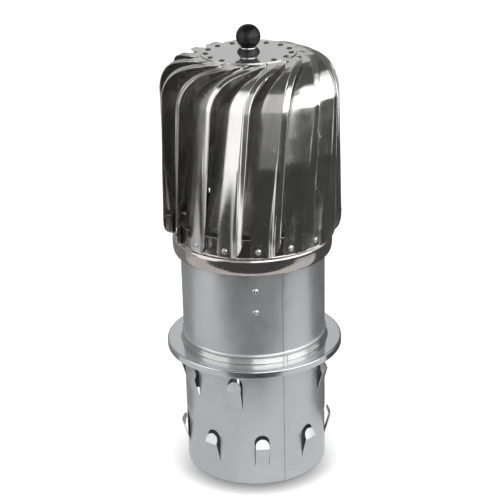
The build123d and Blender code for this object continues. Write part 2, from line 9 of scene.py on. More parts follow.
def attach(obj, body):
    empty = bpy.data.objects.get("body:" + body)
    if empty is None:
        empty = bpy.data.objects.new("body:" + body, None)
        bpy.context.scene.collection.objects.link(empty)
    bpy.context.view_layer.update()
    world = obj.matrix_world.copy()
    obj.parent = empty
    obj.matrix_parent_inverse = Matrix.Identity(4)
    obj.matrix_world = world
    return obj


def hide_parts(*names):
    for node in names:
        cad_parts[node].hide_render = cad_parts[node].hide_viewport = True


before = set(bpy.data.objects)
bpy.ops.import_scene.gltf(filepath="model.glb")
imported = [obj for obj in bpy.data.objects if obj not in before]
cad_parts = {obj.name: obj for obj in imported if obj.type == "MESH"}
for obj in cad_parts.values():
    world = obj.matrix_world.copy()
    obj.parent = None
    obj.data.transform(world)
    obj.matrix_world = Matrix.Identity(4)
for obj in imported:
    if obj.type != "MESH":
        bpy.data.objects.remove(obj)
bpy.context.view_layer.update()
MM = 0.001

# Vane sizes in millimetres, the solid part's with a rounder corner and a wider flange end and tongue
VANES = 15
PITCH = 360.0 / VANES
FIRST_AZIMUTH = -85.8
SHEET = 0.6
FOOT_Z = 259.0
PAD_TOP_Z = 274.0
FLANGE_FOOT_Z = 283.0
FADE_Z = 350.0
SHOULDER_Z = 405.5
PAD_HALF = 8.8
PAD_ROUND = 3.5
OUTER_ROUND = 18.0
FLANGE = 15.0
FLANGE_ROUND = 4.0
FLANGE_END = 7.5
FLANGE_TAPER = 0.75
FLANGE_TURN = radians(22.0)
LIP = 5.5
LIP_TURN = radians(16.0)
FOLD_OFFSET = 17.0
FULL_WIDTH = 29.0
CREASE_SOFT = 7.0
FOLD_SOFT = 3.8
LIP_SOFT = 1.1

# Inner crease and outer edge of a vane, and how they bend in over the shoulder
CREASE_X = 80.6
CREASE_Y = (-8.8, -2.1, 6.0)
CREASE_BEND_RADIUS = 36.0
CREASE_BEND_AZIMUTH = -23.5
CREASE_BEND = 65.0
EDGE_LOW = np.array([90.6, 19.8, FOOT_Z])
EDGE_HIGH = np.array([85.3, 30.9, SHOULDER_Z])
EDGE_BEND_RADIUS = 37.4
EDGE_BEND_AZIMUTH = -20.8
EDGE_BEND = 72.0

# Tongue of a vane, riveted under the disc
TONGUE_AZIMUTH = 54.8
TONGUE_RADIUS = 48.0
TONGUE_DEPTH = 11.6
TONGUE_LEFT = -12.3
TONGUE_RIGHT = 6.8
TONGUE_END_LEFT = -6.0
TONGUE_END_RIGHT = 5.0
TONGUE_BITE = 4.0
BITE_START = 0.65
DISC_UNDER = 444.6
DISC_TOP = 445.6

# Where the rows and columns of a vane's skin lie
FLANGE_COLUMNS = 6
CREASE_COLUMN = FLANGE_COLUMNS
FACE_SHARES = np.linspace(0, 1, 9)[1:-1]
LIP_SHARES = (0.3, 0.55, 0.75, 0.9, 1.0)
PAD_SHARES = np.concatenate([[0, 0.02, 0.05, 0.09, 0.15, 0.22, 0.3], np.linspace(0.38, 1, 9)])
FLANGE_HEIGHTS = [283.3, 284, 285, 286, 287] + list(np.linspace(290, FADE_Z, 15))
WALL_HEIGHTS = np.linspace(FADE_Z, SHOULDER_Z, 13)[1:-1]
BEND_SHARES = np.linspace(0, 1, 25)
RUN_ON = (2.0, 4.0, 6.0, 7.2, 8.0)
SWOOP_SHARES = np.linspace(0, 1, 13)[1:]
TONGUE_SHARES = (0.15, 0.4, 0.65, 0.85, 1.0)


# Vane shape
def unit(v):
    return v / np.linalg.norm(v, axis=-1, keepdims=True)


def left_of(v):
    """A plane vector turned left by a right angle."""
    return np.array([-v[1], v[0]])


def crease_at(z):
    """Point of the inner crease at a height, below the shoulder."""
    return np.array([CREASE_X, np.interp(z, [FOOT_Z, FADE_Z, SHOULDER_Z], CREASE_Y), z])


def edge_at(z):
    """Point of the outer edge at a height, below the shoulder."""
    return EDGE_LOW + (EDGE_HIGH - EDGE_LOW) * (z - FOOT_Z) / (SHOULDER_Z - FOOT_Z)


def bent(foot, top, radius, azimuth, angle, run):
    """Point and direction on a line that bends inward over the shoulder and runs on straight."""
    rise = unit(top - foot)
    a = radians(azimuth)
    inward = np.array([-cos(a), -sin(a), 0.0])
    inward = unit(inward - rise * inward.dot(rise))
    t = radians(angle)
    point = top + inward * radius * (1 - cos(t)) + rise * radius * sin(t)
    way = rise * cos(t) + inward * sin(t)
    return point + way * run, way


def crease_bent(share, run=0.0):
    """Point and direction of the crease, after a share of its bend and a straight run."""
    foot, top = crease_at(FADE_Z), crease_at(SHOULDER_Z)
    return bent(foot, top, CREASE_BEND_RADIUS, CREASE_BEND_AZIMUTH, CREASE_BEND * share, run)


def edge_bent(share, run=0.0):
    """Point and direction of the outer edge, after a share of its bend and a straight run."""
    foot, top = edge_at(FOOT_Z), edge_at(SHOULDER_Z)
    return bent(foot, top, EDGE_BEND_RADIUS, EDGE_BEND_AZIMUTH, EDGE_BEND * share, run)


def lip_root(start, edge):
    """Point where the lip leaves the face, for a face that starts at one point."""
    across = unit(edge - start)
    return edge - across * LIP * cos(LIP_TURN) - left_of(across) * LIP * sin(LIP_TURN)


def soft_arc(a, corner, b, count):
    """Points of a curve from a to b that bends toward the corner."""
    return [a * (1 - t) ** 2 + corner * 2 * t * (1 - t) + b * t * t for t in np.linspace(0, 1, count)]


def soft_corner(before, corner, after, reach, count):
    """Points of a small bend in place of a sharp corner."""
    a = corner + (before - corner) * min(1.0, reach / np.linalg.norm(before - corner))
    b = corner + (after - corner) * min(1.0, reach / np.linalg.norm(after - corner))
    return soft_arc(a, corner, b, count)


def section(crease, fold, root, edge, flange, bow):
    """Points across the vane in its section plane, from the flange's edge to the lip's edge."""
    across = unit(fold - crease)
    tip = crease - across * flange * cos(FLANGE_TURN) + left_of(across) * flange * sin(FLANGE_TURN)
    at_crease = soft_corner(tip, crease, fold, CREASE_SOFT, 7)
    at_fold = soft_corner(crease, fold, root, FOLD_SOFT, 5)
    at_lip = soft_corner(fold, root, edge, LIP_SOFT, 5)
    chord = at_lip[0] - at_fold[-1]
    out = -left_of(unit(chord))
    rows = [tip + (at_crease[0] - tip) * t for t in np.linspace(0, 1, 4)[:-1]]
    rows += at_crease
    rows += [at_crease[-1] + (at_fold[0] - at_crease[-1]) * t for t in np.linspace(0, 1, 4)[1:-1]]
    rows += at_fold
    rows += [at_fold[-1] + chord * t + out * bow * 4 * t * (1 - t) for t in FACE_SHARES]
    rows += at_lip
    rows += [at_lip[-1] + (edge - at_lip[-1]) * t for t in LIP_SHARES]
    return np.array(rows)


def foot_section(z, flange, bow):
    """Level section of the lower vane: its fold moves from the flat pad's side to the full face."""
    share = max(0.0, (z - PAD_TOP_Z) / (FADE_Z - PAD_TOP_Z))
    share = share * share * (3 - 2 * share) * 0.35 + share * 0.65
    top_crease, top_edge = crease_at(FADE_Z)[:2], edge_at(FADE_Z)[:2]
    top_root = lip_root(top_crease, top_edge)
    top_fold = top_crease + unit(top_root - top_crease) * FOLD_OFFSET
    low_fold = np.array([CREASE_X, PAD_HALF])
    low_root = lip_root(low_fold, edge_at(min(z, PAD_TOP_Z))[:2])
    fold, root = low_fold + (top_fold - low_fold) * share, low_root + (top_root - low_root) * share
    return section(crease_at(z)[:2], fold, root, edge_at(z)[:2], flange, bow)


def plane_section(crease, edge, run, flange, bow):
    """Section points in space for a station with its crease, edge and direction."""
    across = unit(edge - crease)
    forward = unit(run - across * run.dot(across))
    out = np.cross(across, forward)
    width = np.linalg.norm(edge - crease)
    start, end = np.array([0.0, 0.0]), np.array([0.0, width])
    root = lip_root(start, end)
    fold = start + unit(root - start) * FOLD_OFFSET * width / FULL_WIDTH
    flat = section(start, fold, root, end, flange, bow)
    return crease + flat[:, :1] * out + flat[:, 1:] * across


def corner_rise(distance, radius):
    """Height of a rounded lower corner above the bottom edge."""
    d = np.clip(radius - distance, 0.0, radius)
    return radius - np.sqrt(radius ** 2 - d ** 2)


def pad_rows(bow):
    """Rows from the rounded bottom edge up to the flange's foot."""
    foot = foot_section(FOOT_Z, FLANGE, bow)
    steps = np.linalg.norm(np.diff(foot, axis=0), axis=1)
    run = np.concatenate([[0], np.cumsum(steps)])
    low = FOOT_Z + corner_rise(run - run[CREASE_COLUMN], PAD_ROUND)
    low += corner_rise(run[-1] - run, OUTER_ROUND)
    low[:CREASE_COLUMN] = low[CREASE_COLUMN]
    rows = []
    for t in PAD_SHARES:
        heights = low + (FLANGE_FOOT_Z - low) * t
        points = np.array([foot_section(z, FLANGE, bow)[i] for i, z in enumerate(heights)])
        rows.append(np.column_stack([points, heights]))
    return rows


def flange_rows(bow):
    """Rows where the flange's lower corner rounds out and the fold fades."""
    rows = []
    for z in FLANGE_HEIGHTS:
        d = min(z - FLANGE_FOOT_Z, FLANGE_ROUND)
        length = FLANGE - FLANGE_ROUND + sqrt(FLANGE_ROUND ** 2 - (FLANGE_ROUND - d) ** 2)
        points = foot_section(z, length, bow)
        rows.append(np.column_stack([points, np.full(len(points), z)]))
    return rows


def wall_rows(bow):
    """Rows of the full face, whose sections tilt from level to square with the shoulder."""
    rows = []
    for z in WALL_HEIGHTS:
        t = (z - FADE_Z) / (SHOULDER_Z - FADE_Z)
        way = np.array([0, 0, 1.0]) * (1 - t) + crease_bent(0.0)[1] * t
        rows.append(plane_section(crease_at(z), edge_at(z), way, FLANGE, bow))
    return rows


def shoulder_rows(bow):
    """Rows of the twisting bend and of the short straight run after it, and their last direction."""
    rows = []
    for t in BEND_SHARES:
        (crease, crease_way), (edge, edge_way) = crease_bent(t), edge_bent(t)
        flange = FLANGE + (FLANGE_END - FLANGE) * t
        rows.append(plane_section(crease, edge, crease_way + edge_way, flange, bow * (1 - 0.6 * t)))
    for run in RUN_ON:
        (crease, crease_way), (edge, edge_way) = crease_bent(1.0, run), edge_bent(1.0, run)
        flange = FLANGE_END - FLANGE_TAPER * run
        rows.append(plane_section(crease, edge, crease_way + edge_way, flange, bow * 0.4))
    return rows, crease_way + edge_way


def tongue_rows(last, way):
    """Rows that swoop from the shoulder to the disc, and the flat tongue under it."""
    steps = np.linalg.norm(np.diff(last[CREASE_COLUMN:], axis=0), axis=1)
    share = np.concatenate([np.zeros(CREASE_COLUMN + 1), np.cumsum(steps) / steps.sum()])
    a = radians(TONGUE_AZIMUTH)
    out, side, up = np.array([cos(a), sin(a), 0.0]), np.array([-sin(a), cos(a), 0.0]), np.array([0, 0, 1.0])

    def level_row(radius, left, right):
        return out * radius + side * (left + (right - left) * share)[:, None] + up * DISC_UNDER

    target = level_row(TONGUE_RADIUS, TONGUE_LEFT, TONGUE_RIGHT)
    span = np.linalg.norm(target - last, axis=1)[:, None]
    leave, arrive = unit(way) * span * 0.8, -out * span * 0.9
    rows = []
    for t in SWOOP_SHARES:
        row = (2*t**3 - 3*t**2 + 1) * last + (t**3 - 2*t**2 + t) * leave
        rows.append(row + (-2*t**3 + 3*t**2) * target + (t**3 - t**2) * arrive)
    for t in TONGUE_SHARES:
        bite = TONGUE_BITE * max(0.0, t - BITE_START) / (1 - BITE_START)
        depth = TONGUE_DEPTH * t - bite * (np.abs(share - 0.5) * 2) ** 4
        left = TONGUE_LEFT + (TONGUE_END_LEFT - TONGUE_LEFT) * t
        right = TONGUE_RIGHT + (TONGUE_END_RIGHT - TONGUE_RIGHT) * t
        rows.append(level_row((TONGUE_RADIUS - depth)[:, None], left, right))
    return rows


def vane_grid(bow):
    """Outer skin of a vane in its own frame, as rows of points, and the flange's first and last row."""
    rows = pad_rows(bow)
    start = len(rows) - 1
    bend, way = shoulder_rows(bow)
    rows += flange_rows(bow) + wall_rows(bow) + bend
    stop = len(rows) - 1
    rows += tongue_rows(rows[-1], way)
    return np.array(rows), start, stop


# Mesh helpers
def mesh_piece(name, verts, faces, body, material, slot, angle=40.0, uvs=None):
    """Smooth mesh piece on a body; verts are in millimetres and edges above the angle stay sharp."""
    mesh = bpy.data.meshes.new(name)
    mesh.from_pydata([tuple(v) for v in np.asarray(verts) * MM], [], [tuple(f) for f in faces])
    mesh.validate()
    mesh.shade_smooth()
    mesh.set_sharp_from_angle(angle=radians(angle))
    if uvs is not None:
        layer = mesh.uv_layers.new(name="sheet")
        index = np.empty(len(mesh.loops), dtype=np.int32)
        mesh.loops.foreach_get("vertex_index", index)
        layer.data.foreach_set("uv", np.asarray(uvs, dtype=np.float32)[index].ravel())
    obj = bpy.data.objects.new(name, mesh)
    bpy.context.scene.collection.objects.link(obj)
    mesh.materials.append(material)
    if uvs is None:
        weights = obj.modifiers.new("weighted_normals", "WEIGHTED_NORMAL")
        weights.keep_sharp = True
    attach(obj, body)
    return obj


def second_material(piece, material, first_face):
    """Gives another material to the faces from one number on, counted from the end if negative."""
    piece.data.materials.append(material)
    for face in piece.data.polygons[first_face:]:
        face.material_index = 1


def lathe(profile, segments, start=0.0, sweep=360.0):
    """Verts and outward faces of a closed section turned about +Z; a part turn gets end caps."""
    profile = np.asarray(profile, dtype=float)
    count = len(profile)
    full = abs(sweep - 360.0) < 1e-6
    turns = segments if full else segments + 1
    angles = np.radians(start + sweep * np.arange(turns) / segments)
    ring = np.stack([
        profile[None, :, 0] * np.cos(angles)[:, None],
        profile[None, :, 0] * np.sin(angles)[:, None],
        np.repeat(profile[None, :, 1], turns, axis=0)], axis=-1).reshape(-1, 3)
    on_axis = profile[:, 0] < 1e-9
    faces = []
    for i in range(segments):
        a, b = i * count, ((i + 1) % turns) * count
        for j in range(count):
            k = (j + 1) % count
            if on_axis[j] and on_axis[k]:
                continue
            if on_axis[j]:
                faces.append((a + k, b + k, j))
            elif on_axis[k]:
                faces.append((k, b + j, a + j))
            else:
                faces.append((a + k, b + k, b + j, a + j))
    if not full:
        last = segments * count
        faces.append(tuple(reversed(range(count))))
        faces.append(tuple(range(last, last + count)))
    return ring, faces


def rounded(points, radii, steps):
    """Closed profile with its corners rounded, each by its own radius and with so many points."""
    points = [np.array(p, dtype=float) for p in points]
    out = []
    for i, (corner, radius) in enumerate(zip(points, radii)):
        if radius <= 0:
            out.append(corner)
            continue
        before, after = points[i - 1] - corner, points[(i + 1) % len(points)] - corner
        long_before, long_after = np.linalg.norm(before), np.linalg.norm(after)
        before, after = before / long_before, after / long_after
        half = np.arccos(np.clip(before.dot(after), -1, 1)) / 2
        reach = min(radius / max(np.tan(half), 1e-6), 0.48 * long_before, 0.48 * long_after)
        out += soft_arc(corner + before * reach, corner, corner + after * reach, steps)
    return out


def joined(parts):
    """One list of verts and faces from several."""
    verts, faces, base = [], [], 0
    for v, f in parts:
        verts.append(np.asarray(v))
        faces += [tuple(i + base for i in face) for face in f]
        base += len(v)
    return np.concatenate(verts), faces


def turned_z(points, angle):
    """Points turned about +Z by an angle in degrees."""
    a = radians(angle)
    turn = np.array([[cos(a), -sin(a), 0], [sin(a), cos(a), 0], [0, 0, 1]])
    return points @ turn.T


def turned_piece(name, profile, segments, body, material, slot, angle=40.0):
    """Piece with a closed section turned about +Z."""
    return mesh_piece(name, *lathe(profile, segments), body, material, slot, angle)


# Node helpers
def toned(color, share):
    """The colour made darker or lighter."""
    return tuple(min(1, c * share) for c in color)


class Nodes:
    """Short way to build a node tree. A value is another node's output, a number or a colour."""

    def __init__(self, tree):
        self.tree = tree
        tree.nodes.clear()

    def add(self, kind, inputs=(), **settings):
        """A new node; inputs are given by their name or number."""
        node = self.tree.nodes.new(kind)
        for key, value in settings.items():
            setattr(node, key, value)
        for key, value in dict(inputs).items():
            socket = node.inputs[key]
            if isinstance(value, bpy.types.NodeSocket):
                self.tree.links.new(value, socket)
            else:
                socket.default_value = (*value, 1) if socket.type == "RGBA" else value
        return node

    def math(self, operation, *values):
        return self.add("ShaderNodeMath", dict(enumerate(values)), operation=operation).outputs[0]

    def weighted(self, one, one_share, two, two_share):
        """Sum of two values, each by its own share."""
        return self.math("ADD", self.math("MULTIPLY", one, one_share), self.math("MULTIPLY", two, two_share))

    def scaled(self, vector, scale):
        return self.add("ShaderNodeMapping", {"Vector": vector, "Scale": scale}).outputs[0]

    def axes(self, vector):
        """The x, y and z of a vector."""
        return self.add("ShaderNodeSeparateXYZ", {0: vector}).outputs

    def noise(self, vector, scale, detail=2.0, rough=0.5):
        inputs = {"Vector": vector, "Scale": scale, "Detail": detail, "Roughness": rough}
        return self.add("ShaderNodeTexNoise", inputs).outputs["Fac"]

    def spread(self, value, low, high, to_low=0.0, to_high=1.0):
        """Stretches the range from low to high onto another one."""
        inputs = {"Value": value, "From Min": low, "From Max": high, "To Min": to_low, "To Max": to_high}
        return self.add("ShaderNodeMapRange", inputs).outputs["Result"]

    def mix(self, factor, one, two):
        return self.add("ShaderNodeMix", {0: factor, 6: one, 7: two}, data_type="RGBA").outputs[2]

    def mottled(self, pattern, low, high, color, dark, light):
        """Colour that runs from a darker to a lighter tone as the pattern rises."""
        return self.mix(self.spread(pattern, low, high), toned(color, dark), toned(color, light))

    def bump(self, height, distance, strength=1.0, normal=None):
        inputs = {"Height": height, "Distance": distance, "Strength": strength}
        if normal is not None:
            inputs["Normal"] = normal
        return self.add("ShaderNodeBump", inputs).outputs["Normal"]

    def shader_mix(self, factor, one, two):
        return self.add("ShaderNodeMixShader", {0: factor, 1: one.outputs[0], 2: two.outputs[0]})

    def finish(self, shader, kind="ShaderNodeOutputMaterial"):
        self.add(kind, {0: shader.outputs[0]})

    def surface(self, color, roughness, normal, metallic, extra=()):
        inputs = {"Base Color": color, "Roughness": roughness, "Normal": normal, "Metallic": metallic}
        self.finish(self.add("ShaderNodeBsdfPrincipled", {**inputs, **dict(extra)}))

    def seen(self):
        """1 for rays that come straight from the camera, from metal or from glass."""
        path = self.add("ShaderNodeLightPath").outputs
        direct = self.math("MAXIMUM", path["Is Camera Ray"], path["Is Glossy Ray"])
        return self.math("MAXIMUM", direct, path["Is Transmission Ray"])


def new_material(name):
    material = bpy.data.materials.new(name)
    material.use_nodes = True
    return material, Nodes(material.node_tree)


# Materials, in metres and radians
SEAM_EDGE = radians(-66.95)
SEAM_SOFT, SEAM_WIDE = 0.0020, 0.0050
# Painted shade on the ring's wall between the vanes: how fast it comes in, and its colour
PAINTED_SHADE_FADE = 0.0006
PAINTED_SHADE_COLOR = (0.16, 0.155, 0.15)
ROLLED_LOW, ROLLED_HIGH = 0.128, 0.140


def polished_sheet(name, color, use_uv, rough_low, rough_high, waves, painted_shade_above=None):
    """Bright rolled stainless: fine lengthwise streaks, handling smears, slow waves, a few scratches, and
    painted shade above a given height.
    """
    material, n = new_material(name)
    coordinates = n.add("ShaderNodeTexCoord").outputs
    place = coordinates["Object"]
    sheet = n.scaled(coordinates["UV"], (1.0, 0.012, 1.0)) if use_uv else n.scaled(place, (1.0, 1.0, 0.03))
    streak = n.noise(sheet, 2600.0, 3.0, 0.6)
    broad = n.noise(sheet, 420.0)
    smear = n.noise(place, 55.0, 5.0, 0.62)
    slow = n.noise(place, 24.0, 1.0)
    speck = n.noise(place, 900.0, 2.0, 0.7)
    shade = n.weighted(streak, 0.35, broad, 0.65)
    base = n.mottled(shade, 0.3, 0.7, color, 0.93, 1.05)
    # Painted shade: above the given height the colour darkens toward a dark grey
    if painted_shade_above:
        painted_shade = n.spread(n.axes(place)[2], painted_shade_above, painted_shade_above + PAINTED_SHADE_FADE, 0.0, 0.55)
        base = n.mix(painted_shade, base, PAINTED_SHADE_COLOR)
    dull = n.spread(smear, 0.35, 0.72, rough_low, rough_high)
    rough = n.math("ADD", dull, n.spread(speck, 0.66, 0.8, 0.0, 0.18))
    cells = {"Vector": n.scaled(place, (1.0, 1.0, 0.22)), "Scale": 70.0}
    scratch = n.add("ShaderNodeTexVoronoi", cells, feature="DISTANCE_TO_EDGE")
    line = n.spread(scratch.outputs["Distance"], 0.0, 0.012, 1.0, 0.0)
    line = n.math("MULTIPLY", line, n.spread(n.noise(place, 38.0), 0.60, 0.66))
    rough = n.math("ADD", rough, n.math("MULTIPLY", line, 0.25))
    normal = n.bump(slow, waves)
    normal = n.bump(shade, 0.000002, 1.0, normal)
    normal = n.bump(line, 0.00001, 0.4, normal)
    if use_uv:
        grain = n.add("ShaderNodeTangent", direction_type="UV_MAP", uv_map="sheet")
        n.surface(base, rough, normal, 0.965, {"Anisotropic": 0.75, "Tangent": grain.outputs[0]})
    else:
        n.surface(base, rough, normal, 0.93)
    return material


def galvanised_sheet(name, color, rough, rolled, solid):
    """Satin zinc: cloudy patches, faint crystals, rolling marks, and a rolled tube's dark lap line."""
    material, n = new_material(name)
    place = n.add("ShaderNodeTexCoord").outputs["Object"]
    x, y, z = n.axes(place)
    cloud = n.noise(place, 42.0, 4.0, 0.6)
    fine = n.noise(place, 260.0, 3.0, 0.65)
    marks = n.noise(n.scaled(place, (1.0, 1.0, 0.02)), 1500.0, 2.0, 0.6)
    if rolled:
        marks_round = n.noise(n.scaled(place, (0.03, 0.03, 1.0)), 900.0, 3.0, 0.6)
        low = n.spread(z, ROLLED_LOW, ROLLED_HIGH, 1.0, 0.0)
        marks = n.add("ShaderNodeMix", {0: low, 2: marks, 3: marks_round}, data_type="FLOAT").outputs[0]
    crystal = n.add("ShaderNodeTexVoronoi", {"Vector": place, "Scale": 330.0}).outputs["Distance"]
    base = n.mottled(n.weighted(cloud, 0.5, marks, 0.5), 0.35, 0.65, color, 0.94, 1.05)
    base = n.mix(n.spread(fine, 0.62, 0.80, 0.0, 0.35), base, toned(color, 0.72))
    if rolled:
        off = n.math("ABSOLUTE", n.math("SUBTRACT", n.math("ARCTAN2", y, x), SEAM_EDGE))
        line = n.spread(off, SEAM_SOFT, SEAM_WIDE, 1.0, 0.0)
        base = n.mix(n.math("MULTIPLY", line, 0.55), base, toned(color, 0.18))
    patch = n.spread(cloud, 0.3, 0.7, rough - 0.04, rough + 0.05)
    roughness = n.math("ADD", patch, n.spread(crystal, 0.0, 0.8, -0.02, 0.03))
    normal = n.bump(cloud, 0.00008, 0.6)
    normal = n.bump(marks, 0.000005, 1.0, normal)
    n.surface(base, roughness, normal, solid)
    return material


def spun_sheet(name, color, rough):
    """Spun zinc-coated sheet: bright, with fine rings from the lathe and a few rubbed patches."""
    material, n = new_material(name)
    place = n.add("ShaderNodeTexCoord").outputs["Object"]
    x, y, z = n.axes(place)
    radius = n.math("SQRT", n.math("ADD", n.math("MULTIPLY", x, x), n.math("MULTIPLY", y, y)))
    across = n.add("ShaderNodeCombineXYZ", {0: radius, 1: z}).outputs[0]
    rings = n.noise(across, 1500.0, 3.0, 0.6)
    cloud = n.noise(place, 48.0, 4.0, 0.6)
    speck = n.noise(place, 800.0, 2.0, 0.7)
    base = n.mottled(n.weighted(cloud, 0.6, rings, 0.4), 0.35, 0.65, color, 0.93, 1.04)
    base = n.mix(n.spread(speck, 0.68, 0.80, 0.0, 0.4), base, toned(color, 0.6))
    patch = n.spread(cloud, 0.3, 0.7, rough - 0.03, rough + 0.05)
    roughness = n.math("ADD", patch, n.spread(rings, 0.3, 0.7, -0.02, 0.02))
    normal = n.bump(rings, 0.000003)
    normal = n.bump(cloud, 0.00006, 0.5, normal)
    n.surface(base, roughness, normal, 0.95)
    return material


def plain_metal(name, color, rough, grain_scale=700.0, bump=0.000008):
    """Machined or pressed metal with fine grain and handling marks."""
    material, n = new_material(name)
    place = n.add("ShaderNodeTexCoord").outputs["Object"]
    marks = n.noise(n.scaled(place, (0.25, 0.25, 1.0)), grain_scale, 3.0, 0.6)
    patch = n.noise(place, 130.0, 4.0, 0.6)
    base = n.mottled(patch, 0.3, 0.7, color, 0.9, 1.0)
    roughness = n.spread(patch, 0.3, 0.7, rough - 0.05, rough + 0.06)
    roughness = n.math("ADD", roughness, n.spread(marks, 0.3, 0.7, -0.02, 0.02))
    n.surface(base, roughness, n.bump(marks, bump), 1.0)
    return material


def black_resin(name):
    """Moulded black resin, semi-gloss, with faint orange peel, dust and rubbed spots."""
    material, n = new_material(name)
    place = n.add("ShaderNodeTexCoord").outputs["Object"]
    peel = n.noise(place, 900.0)
    rub = n.noise(place, 160.0, 4.0, 0.65)
    dust = n.noise(place, 2600.0, 2.0, 0.7)
    base = n.mix(n.spread(dust, 0.66, 0.80), (0.006, 0.006, 0.0065), (0.035, 0.035, 0.035))
    rough = n.spread(rub, 0.3, 0.7, 0.26, 0.40)
    n.surface(base, rough, n.bump(peel, 0.00003, 0.5), 0.0, {"Specular IOR Level": 0.38})
    return material


vane_steel = polished_sheet("polished_vane", (0.72, 0.715, 0.70), True, 0.14, 0.23, 0.00025)
edge_steel = polished_sheet("polished_edge", (0.88, 0.875, 0.86), False, 0.10, 0.16, 0.00002)
# The ring's last number is the height in metres above which shade is painted on its wall between the vanes
ring_steel = polished_sheet("polished_ring", (0.62, 0.575, 0.55), False, 0.11, 0.18, 0.00012, 0.2588)
disc_steel = polished_sheet("polished_disc", (0.66, 0.66, 0.655), False, 0.07, 0.13, 0.00005)
tube_zinc = galvanised_sheet("galvanised_tube", (0.65, 0.658, 0.67), 0.29, True, 0.74)
bracket_zinc = galvanised_sheet("galvanised_bracket", (0.58, 0.59, 0.60), 0.42, False, 0.6)
flange_zinc = spun_sheet("galvanised_flange", (0.74, 0.75, 0.76), 0.15)
neck_zinc = spun_sheet("galvanised_neck", (0.61, 0.61, 0.605), 0.15)
rivet_metal = plain_metal("rivet_metal", (0.72, 0.72, 0.71), 0.24)
dark_rivet_metal = plain_metal("dark_rivet_metal", (0.15, 0.15, 0.15), 0.42)
# Very dark metal for the clamp nut under the knob
dark_metal = plain_metal("dark_nut_metal", (0.06, 0.06, 0.062), 0.38)
washer_metal = plain_metal("washer_metal", (0.86, 0.86, 0.85), 0.18)
plated_metal = plain_metal("plated_metal", (0.70, 0.70, 0.71), 0.30)
spring_metal = plain_metal("spring_metal", (0.22, 0.22, 0.24), 0.42)
turned_alloy = plain_metal("turned_alloy", (0.72, 0.73, 0.74), 0.33, 1400.0)
race_metal = plain_metal("race_metal", (0.62, 0.62, 0.64), 0.16, 1800.0, 0.000004)
cage_metal = plain_metal("cage_metal", (0.62, 0.47, 0.20), 0.30)
knob_resin = black_resin("knob_resin")


# Vanes
INSIDE_POINT = np.array([45.0, 10.0, 0.0])
HEM_RADIUS, HEM_GAP = 0.55, 0.05
HEM_FIRST_ROW, HEM_ROWS_PAST_STOP = 3, 2
HEM_START_ROWS, HEM_END_ROWS, HEM_THINNEST = 2.0, 14.0, 0.1
HEM_SIDES = 10
FREE_RADIUS, FREE_WIDTH = 84.0, 6.0
FREE_FOOT, FREE_RISE = 262, 20.0
WAVE, WAVE_LENGTH, WAVE_LENGTH_SPREAD, WHOLE_TURN = 0.10, 17.0, 6, 6.28
LEAN_SPREAD, EDGE_INSET = 0.12, 0.15
LOWEST_BOW, BOW_SPREAD = 0.30, 0.12


def lengths_along(points, axis):
    """Length of the steps walked so far along one axis of a grid of points."""
    steps = np.cumsum(np.linalg.norm(np.diff(points, axis=axis), axis=-1), axis=axis)
    return np.concatenate([np.zeros_like(np.take(steps, [0], axis=axis)), steps], axis=axis)


def sheet_solid(grid, start, stop):
    """Sheet of real thickness under a grid of points; the flange lives between two rows."""
    rows, columns = grid.shape[:2]
    normal = np.cross(np.gradient(grid, axis=1), np.gradient(grid, axis=0))
    size = np.linalg.norm(normal, axis=-1)
    for i in range(1, rows):
        flat = size[i] < 1e-4
        normal[i][flat] = normal[i - 1][flat]
        size[i][flat] = size[i - 1][flat]
    normal = normal / size[..., None]
    flip = np.sign(np.sum(normal[:stop] * (grid[:stop] - INSIDE_POINT) * [1, 1, 0]))
    inner = grid - normal * flip * SHEET
    cell = np.ones((rows - 1, columns - 1), dtype=bool)
    cell[:start, :FLANGE_COLUMNS] = False
    cell[stop:, :FLANGE_COLUMNS] = False
    used = np.zeros((rows, columns), dtype=bool)
    for i, j in ((0, 0), (0, 1), (1, 0), (1, 1)):
        used[i:rows - 1 + i, j:columns - 1 + j] |= cell
    half = np.count_nonzero(used)
    number = np.full((rows, columns), -1)
    number[used] = np.arange(half)
    across = lengths_along(grid, 1)
    across -= across[:, CREASE_COLUMN:CREASE_COLUMN + 1]
    length = np.repeat(lengths_along(grid[:, columns // 2], 0)[:, None], columns, axis=1)
    uvs = np.tile(np.column_stack([across[used], length[used]]) * MM, (2, 1))
    faces, rim = [], {}
    for i, j in np.argwhere(cell):
        loop = [number[i, j], number[i, j + 1], number[i + 1, j + 1], number[i + 1, j]]
        if flip < 0:
            loop.reverse()
        faces.append(tuple(loop))
        faces.append(tuple(half + v for v in reversed(loop)))
        for a, b in zip(loop, loop[1:] + loop[:1]):
            if not rim.pop((b, a), False):
                rim[a, b] = True
    faces += [(b, a, half + a, half + b) for a, b in rim]
    return np.concatenate([grid[used], inner[used]]), faces, uvs, inner


def edge_hem(grid, inner, first, last):
    """Small rolled hem along the free edge of the lip, thin at both ends."""
    outside, inside = grid[first:last, -1], inner[first:last, -1]
    toward = unit(grid[first:last, -2] - outside)
    line = (outside + inside) / 2 + toward * (HEM_RADIUS + HEM_GAP)
    run = unit(np.gradient(line, axis=0))
    u = unit(np.cross(run, toward))
    v = np.cross(run, u)
    turn = np.linspace(0, 2 * pi, HEM_SIDES + 1)[:-1]
    step = np.arange(len(line))
    swell = np.minimum(step / HEM_START_ROWS, (len(line) - 1 - step) / HEM_END_ROWS)
    swell = np.clip(swell, HEM_THINNEST, 1)
    rings = line[:, None] + HEM_RADIUS * swell[:, None, None] * (
        u[:, None] * np.cos(turn)[None, :, None] + v[:, None] * np.sin(turn)[None, :, None])
    faces = []
    for a in range(0, (len(line) - 1) * HEM_SIDES, HEM_SIDES):
        b = a + HEM_SIDES
        for j in range(HEM_SIDES):
            k = (j + 1) % HEM_SIDES
            faces.append((a + j, a + k, b + k, b + j))
    last_ring = (len(line) - 1) * HEM_SIDES
    faces.append(tuple(reversed(range(HEM_SIDES))))
    faces.append(tuple(range(last_ring, last_ring + HEM_SIDES)))
    return rings.reshape(-1, 3), faces


